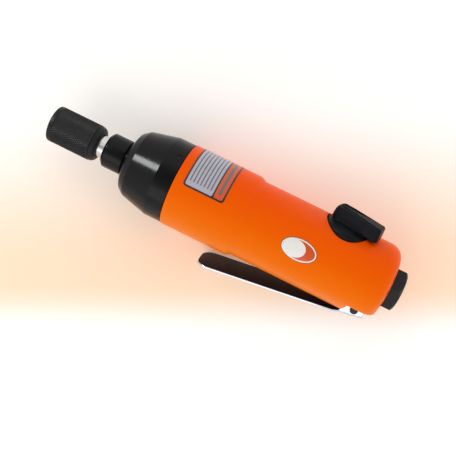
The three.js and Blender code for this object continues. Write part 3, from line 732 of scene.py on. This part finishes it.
def badge():
    """An oval of four films: a rim, a white ground, an orange field and a white disc off its centre."""
    x, angle = centre_of("name_badge")
    half_long, half_tall, count = 9, 5.45, 72
    turns = [2 * math.pi * i / count for i in range(count)]
    ellipse = [(half_long * math.cos(a), half_tall * math.sin(a)) for a in turns]
    layers = (("badge_rim", 1.0, 1.0, 0, FILM_BLACK, ["name_badge"]),
              ("badge_film", 0.975, 0.96, 0, FILM_WHITE, []),
              ("badge_field", 0.9, 0.84, 0, FILM_ORANGE, []),
              ("badge_disc", 0.62, 0.8, -2.4, FILM_WHITE, []))
    for i, (name, wide, tall, shift, material, nodes) in enumerate(layers):
        outline = [(u * wide + shift, v * tall) for u, v in ellipse]
        ob = film(name, HANDLE_R, outline, x, angle, FILM + (i - 1) * LAYER, material, 0.7)
        finish_piece(ob, material, "housing", "label_white", *nodes)


# ---------- reverse knob ----------
KNOB_TURN = -14  # degrees between the wing and the tool's axis
WING_FRONT = -9.8
WING_REAR = 16.0
WING_UNDER = 20.45


def puck(outline, layers, place):
    """A solid from one outline, inset by each layer's amount at its height: layers of (height, inset)."""
    bm = bmesh.new()
    count = len(outline)
    normals = []
    for i in range(count):
        a = Vector(outline[i - 1])
        b = Vector(outline[(i + 1) % count])
        t = (b - a).normalized()
        normals.append(Vector((t.y, -t.x)))
    rings = []
    for height, inset in layers:
        ring = []
        for point, normal in zip(outline, normals):
            p = Vector(point) - normal * inset
            ring.append(bm.verts.new(place(p.x, p.y, height)))
        rings.append(ring)
    for a, b in zip(rings, rings[1:]):
        for i in range(count):
            j = (i + 1) % count
            bm.faces.new([a[i], a[j], b[j], b[i]])
    bm.faces.new(list(reversed(rings[0])))
    bm.faces.new(rings[-1])
    return bm


def shape_wing(co):
    """Lets the wing's top fall to the rear and at its round front, and levels its overhang."""
    root, height, fall, shoulder = 21, 7.8, 1.2, 5.0
    overhang_from = 8.5
    share = max(0.0, (co.z - root) / height)
    co.z -= share * (co.x - WING_FRONT) / (WING_REAR - WING_FRONT) * fall
    ahead = WING_FRONT + shoulder - co.x
    if ahead > 0 and share > 0:
        co.z -= share * (shoulder - math.sqrt(max(0.0, shoulder ** 2 - ahead ** 2)))
    if co.z < WING_UNDER - 0.05 and co.x > overhang_from:
        co.z = WING_UNDER


def wing():
    """The knob's grip: round at the front, square with rounded corners at the rear."""
    nose, rear_corner, rear_half = 3.4, 1.55, 3.2
    plan = []
    for i in range(17):
        a = math.radians(90 + 180 * i / 16)
        plan.append((WING_FRONT + 0.05 + nose + nose * math.cos(a), nose * math.sin(a)))
    for i in range(13):
        a = math.radians(-90 + 180 * i / 12)
        side = rear_half if a > 0 else -rear_half
        plan.append((WING_REAR - 1.6 + rear_corner * math.cos(a), side + rear_corner * math.sin(a)))
    layers = [(19.0, 0.6), (WING_UNDER, 0.5), (20.6, 0.2), (21.0, 0.0), (24.0, 0.05), (27.4, 0.2),
              (28.1, 0.45), (28.5, 0.9), (28.75, 1.6)]
    bm = puck(plan, layers, along_z)
    bmesh.ops.subdivide_edges(bm, edges=bm.edges[:], cuts=3, use_grid_fill=True)
    for vert in bm.verts:
        shape_wing(vert.co)
    return bm


def knob():
    bottom, rim_r, top = 15.8, 11.25, 20.9
    base = stand(lathe(profile([(bottom, 0, 0), (bottom, rim_r, 0), (18.7, rim_r, 0.8), (19.6, 10.4, 0.8),
                                (top, 6, 1), (top, 0, 0)], 6), 128))
    ob = new_object("reverse_knob_moulded", merge(base, wing()))
    remesh = ob.modifiers.new("remesh", "REMESH")
    remesh.mode = "VOXEL"
    remesh.voxel_size = 0.2 * MM
    smooth = ob.modifiers.new("smooth", "SMOOTH")
    smooth.factor = 0.5
    smooth.iterations = 8
    apply_modifiers(ob)
    boolean(ob, prism(circle(2.45, 40), 25.9, 40, along_z))
    shade(ob, 45)
    place = Matrix.Translation((KNOB_X * MM, 0, 0))
    ob.data.transform(place @ Matrix.Rotation(math.radians(KNOB_TURN), 4, "Z"))
    finish_piece(ob, PLASTIC, "reverse", "black_plastic", "reverse_knob")
    ob = knob_screw()
    ob.data.transform(place)
    finish_piece(ob, OXIDE, "reverse", "black_steel", "knob_screw")


def knob_screw():
    """A screw with a cross recess, about the z axis."""
    tip, seat, head_top = 7, 26, 27.85
    screw = profile([(tip, 0, 0), (tip, 1.6, 0), (seat, 1.6, 0), (seat, 2.25, 0), (27.5, 2.2, 0.3),
                     (head_top, 1.5, 0.3), (head_top, 0, 0)], 4)
    ob = new_object("knob_screw_turned", stand(lathe(screw, 40)))
    long, wide, floor = 1.5, 0.28, 26.9
    corners = [(-long, -wide), (long, -wide), (long, wide), (-long, wide)]
    for angle in (20, 110):
        slot = prism(corners, floor, 30, along_z)
        bmesh.ops.transform(slot, verts=slot.verts, matrix=Matrix.Rotation(math.radians(angle), 4, "Z"))
        boolean(ob, slot)
    shade(ob)
    return ob


# ---------- throttle lever ----------
LEVER_SLOPE = math.radians(8.81)
SHEET = 1.2
TIP_X = 96.2
LEVER_HALF = 9.0
EAR_HALF = 7.5
EAR_FRONT = 171.0
EAR_REAR = 182.8


def lever_outer(x):
    """The height of the strip's outer face at a station."""
    return -(19.9 + (LEVER_PIVOT.x - x) * math.tan(LEVER_SLOPE))


def inner_faces(ob):
    """The strip's faces towards the body, which get painted shade: a dark steel in place of the chrome's dark
    reflection of the body.
    """
    found = []
    for face in ob.data.polygons:
        centre = face.center / MM
        if face.normal.z > 0.8 and 0.9 < centre.z - lever_outer(centre.x) < 1.5:
            found.append(face.index)
    return found


def lever_strip():
    """The sloping strip: round corners at the tip, narrower at the ears, with rounded edges."""
    corner, edge, taper = 6, 0.34, 3.4
    plan = []
    for sign in (1, -1):
        quarter = [math.radians(90 + 90 * i / 12) for i in range(13)]
        tip = [(TIP_X + corner + corner * math.cos(a), sign * (LEVER_HALF - corner + corner * math.sin(a)))
               for a in quarter]
        rear = [(EAR_REAR - 0.02, sign * (EAR_HALF - SHEET)), (EAR_FRONT, sign * EAR_HALF),
                (EAR_FRONT - taper, sign * LEVER_HALF)]
        side = rear + tip
        plan += side if sign == 1 else list(reversed(side))
    turns = [math.radians(22.5 * i) for i in reversed(range(5))]
    lower = [(edge * (1 - math.sin(a)), edge * (1 - math.cos(a))) for a in turns]
    upper = [(SHEET - height, inset) for height, inset in reversed(lower)]

    def place(x, y, w):
        return (x, y, lever_outer(x) + w / math.cos(LEVER_SLOPE))

    return puck(plan, lower + upper, place)


def lever_ears():
    """The U of sheet round the lug, cut to the shape of its ears from the side."""
    bend, inner_bend, ear_top = 1.6, 0.5, 9.0
    inside = EAR_HALF - SHEET
    quarter = [math.radians(15 * i) for i in range(7)]
    outline = [(inside, ear_top), (EAR_HALF, ear_top)]
    outline += [(EAR_HALF - bend + bend * math.cos(a), bend - bend * math.sin(a)) for a in quarter]
    outline += [(-u, v) for u, v in reversed(outline)]
    outline += [(-inside, SHEET + inner_bend), (inner_bend - inside, SHEET), (inside - inner_bend, SHEET),
                (inside, SHEET + inner_bend)]
    ears = prism(outline, EAR_FRONT - 0.4, EAR_REAR, lambda u, v, w: (w, u, lever_outer(w) + v))
    ob = new_object("clevis", ears)
    front, top = EAR_FRONT - 0.2, LEVER_PIVOT.z + 3.2
    outer_front = lever_outer(EAR_FRONT)
    shape = profile([(front, outer_front - 2, 0), (EAR_REAR, lever_outer(EAR_REAR) - 2, 0.8),
                     (EAR_REAR, top, 2.2), (front + 2.5, top, 1.8), (front, outer_front + 1, 0.3),
                     (front, outer_front - 2, 0)], 6)[:-1]
    boolean(ob, prism(shape, -12, 12, along_y), "INTERSECT")
    bm = bmesh.new()
    bm.from_mesh(ob.data)
    bmesh.ops.scale(bm, vec=(1 / MM,) * 3, verts=bm.verts)
    bpy.data.objects.remove(ob)
    return bm


def lever():
    """Bent sheet steel: a strip with two ears folded up round the lug."""
    ob = new_object("throttle_lever_sheet", lever_strip())
    boolean(ob, lever_ears(), "UNION")
    boolean(ob, prism(circle(1.75, 40, (LEVER_PIVOT.x, LEVER_PIVOT.z)), -12, 12, along_y))
    bevel(ob, 0.15, 50)
    shade(ob, 30)
    # the inner faces take painted shade, a dark steel in place of the chrome's dark reflection
    painted_shade_faces = inner_faces(ob)
    finish_piece(ob, CHROME, "lever", "chrome_plate", "throttle_lever")
    ob.data.materials.append(LEVER_PAINTED_SHADE)
    for index in painted_shade_faces:
        ob.data.polygons[index].material_index = 1


def lever_pin():
    """A pin with a domed head at one end and a riveted collar at the other."""
    shank, head, rivet = 1.5, 1.98, 1.85
    pin = lathe(profile([(-8.5, 0, 0), (-8.5, 1.55, 0.15), (-8.1, head, 0.2), (-7.75, head, 0),
                         (-7.75, shank, 0), (7.85, shank, 0), (7.85, rivet, 0), (8.15, rivet, 0.1),
                         (8.3, 1.4, 0.1), (8.3, 0, 0)], 3), 48)
    place = Matrix.Translation((LEVER_PIVOT.x, 0, LEVER_PIVOT.z))
    bmesh.ops.transform(pin, verts=pin.verts, matrix=place @ Matrix.Rotation(math.radians(90), 4, "Z"))
    ob = new_object("lever_pin_turned", pin)
    finish_piece(ob, DARK_STEEL, "housing", "black_steel", "lever_pin")


# ---------- throttle ----------
LEVER_SIDE = 180  # degrees from the knob's side


def throttle():
    stem_r, disc_r, tail_r = 1.48, 3.15, 1.6
    tail_end, disc_in, disc_out, stem_end = 2, 6.5, 7.65, 19.85
    stem = profile([(tail_end, 0, 0), (tail_end, tail_r, 0.2), (disc_in, tail_r, 0),
                    (disc_in, disc_r, 0.2), (disc_out, disc_r, 0.2), (disc_out, stem_r, 0),
                    (stem_end, stem_r, 0.5), (stem_end, 0, 0)], 5)
    ob = new_object("throttle_valve_turned", radial_lathe(stem, THROTTLE_X, LEVER_SIDE, 48))
    finish_piece(ob, BRIGHT, "throttle", "bright_steel", "throttle_valve")
    seat, outer_end, bore, outer = 8, 17.38, 1.62, 3.58
    bush = profile([(seat, bore, 0), (seat, outer, 0.2), (outer_end, outer, 0.3), (outer_end, bore, 0.2),
                    (seat, bore, 0)], 4)[:-1]
    ob = new_object("throttle_bushing_turned", radial_lathe(bush, THROTTLE_X, LEVER_SIDE, 64))
    finish_piece(ob, BRONZE, "housing", "bronze", "throttle_bushing")


# ---------- air inlet ----------
def inlet():
    front, shoulder = 172.5, 187.1
    rear = stations_of("inlet_bushing")[1]
    spigot, mouth, bore = 8.4, 6.6, 5.62
    pitch, depth = 1.34, 0.45
    thread_front, thread_rear = 173.2, rear - 0.9

    def thread(x, r, angle):
        if r > 6.2 or x < thread_front + 0.8 or x > thread_rear - 0.5:
            return r
        phase = (x / pitch - angle / 360) % 1
        return r + depth * (1 - abs(phase - 0.5) * 2)

    steps = 66
    threaded = [(thread_rear - (thread_rear - thread_front) * i / steps, bore) for i in range(steps + 1)]
    body = [(front, bore), (front, spigot), (shoulder, spigot), (shoulder, 14), (rear, 14), (rear, mouth)]
    ob = new_object("inlet_bushing_threaded", lathe(body + threaded, 120, thread), 30)
    corner = 20 / math.sqrt(3)
    softened = 1.8  # degrees either side of each corner
    side = corner * math.cos(math.radians(30)) / math.cos(math.radians(30 - softened))
    hexagon = [polar(r, UP_ANGLE + 60 * i + turn)
               for i in range(6) for r, turn in ((side, -softened), (corner - 0.09, 0), (side, softened))]
    boolean(ob, prism(hexagon, 170, rear + 1, along_x), "INTERSECT")
    ahead, chamfer = 160, 1.7
    cone = [(ahead, 0), (ahead, corner + 2), (rear - chamfer, corner + 0.15), (rear, corner - 2.1),
            (rear, 0)]
    boolean(ob, lathe(cone, 120), "INTERSECT")
    shade(ob, 26)
    finish_piece(ob, OXIDE, "housing", "black_steel", "inlet_bushing")


# ---------- floor, lights and camera ----------
VIEW_TURN = 26.25  # degrees that the tool's axis runs down to the right in the picture
VIEW_TILT = 4.3  # degrees that the view leans towards the inlet end
DISTANCE = 0.380  # metres from the camera to the point it looks at
LOOK_STATION = 103.7
LOOK_SIDE = -8.9  # millimetres from the tool's axis, along the frame's Y
FLOOR_SIZE = 6
# The floor's band: where it starts and where it is full, in metres from the origin and up the view.
BAND_LOW = (-0.066, -0.038)
BAND_HIGH = (0.064, -0.034)
PAPER = (0.97, 0.97, 0.97)
PEACH = (0.97, 0.68, 0.48)


def floor_paper():
    """White paper, a little lit from below, with a soft peach band across the picture."""
    m = Nodes("studio_floor_paper", (0.88, 0.86, 0.84), 0.8, Specular_IOR_Level=0.1,
              Emission_Color=(1.0, 0.93, 0.86, 1), Emission_Strength=0.14)
    turn = {"Vector": m.coords, "Angle": -math.radians(VIEW_TURN)}
    turned = m.node("VectorRotate", turn, rotation_type="Z_AXIS")
    across = m.node("SeparateXYZ", {"Vector": turned.outputs[0]}).outputs[1]
    sides = []
    for start, full in (BAND_LOW, BAND_HIGH):
        side = m.node("MapRange", {"Value": across, "From Min": start, "From Max": full},
                      interpolation_type="SMOOTHSTEP")
        sides.append(side.outputs[0])
    band = m.node("Math", {0: sides[0], 1: sides[1]}, operation="MULTIPLY").outputs[0]
    m.color(m.mix(band, PAPER, PEACH))
    return m.material


def sky():
    """A bright dome that gets dark towards the zenith."""
    world = bpy.data.worlds.new("studio_world")
    world.use_nodes = True
    tree = world.node_tree
    background = tree.nodes["Background"]
    direction = tree.nodes.new("ShaderNodeTexCoord").outputs["Generated"]
    height = tree.nodes.new("ShaderNodeSeparateXYZ")
    tree.links.new(direction, height.inputs[0])
    overhead = tree.nodes.new("ShaderNodeMapRange")
    for key, value in (("From Min", 0.76), ("From Max", 0.985), ("To Min", 1.15), ("To Max", 0.25)):
        overhead.inputs[key].default_value = value
    tree.links.new(height.outputs[2], overhead.inputs["Value"])
    background.inputs["Color"].default_value = (1.0, 0.975, 0.95, 1)
    tree.links.new(overhead.outputs[0], background.inputs["Strength"])
    bpy.context.scene.world = world


def studio():
    bpy.ops.mesh.primitive_plane_add(size=FLOOR_SIZE, location=(0, 0, 0))
    floor = bpy.context.object
    floor.name = "studio_floor"
    floor.data.materials.append(floor_paper())
    sky()
    area("key_softbox", location=(-0.05, -0.62, 0.5), target=(0, 0, 0.02),
         size=(0.9, 0.45), power=1.2, color=(1.0, 0.94, 0.85))
    highlight = area("strip_light", location=(-0.55, 0.157, 0.637), target=(-0.042, 0.002, 0.04),
                     size=(0.2, 0.3), power=6.0, color=(0.97, 1, 1))
    highlight.visible_diffuse = False


def area(name, location, target, size, power, color):
    """A rectangular light that faces the target."""
    light = bpy.data.lights.new(name, "AREA")
    light.shape = "RECTANGLE"
    light.size, light.size_y = size
    light.energy = power
    light.color = color
    ob = bpy.data.objects.new(name, light)
    ob.location = location
    ob.rotation_euler = (Vector(target) - Vector(location)).to_track_quat("-Z", "Y").to_euler()
    bpy.context.scene.collection.objects.link(ob)
    return ob


def camera():
    """Looks down on the tool, almost straight."""
    data = bpy.data.cameras.new("photo_camera")
    data.lens = 60
    data.sensor_width = 36
    data.clip_start = 0.01
    ob = bpy.data.objects.new("photo_camera", data)
    target = Vector((FRONT_X + LOOK_STATION * MM, AXIS_POINT.y + LOOK_SIDE * MM, AXIS_POINT.z))
    tilt = math.radians(VIEW_TILT)
    turn = math.radians(VIEW_TURN)
    back = Vector((math.sin(tilt), 0, math.cos(tilt)))
    right = Vector((math.cos(turn), math.sin(turn), 0))
    right = (right - back * right.dot(back)).normalized()
    up = back.cross(right)
    rotation = Matrix((right, up, back)).transposed().to_4x4()
    ob.matrix_world = Matrix.Translation(target + back * DISTANCE) @ rotation
    bpy.context.scene.collection.objects.link(ob)
    bpy.context.scene.camera = ob


bpy.context.scene.view_settings.view_transform = "Standard"
camera()
studio()
dress_cad_nodes()
sleeve()
end_cap()
bit_holder()
collar()
hammer_case()
housing()
label()
badge()
knob()
lever()
lever_pin()
throttle()
detent_ball()
inlet()
sleeve_spring()
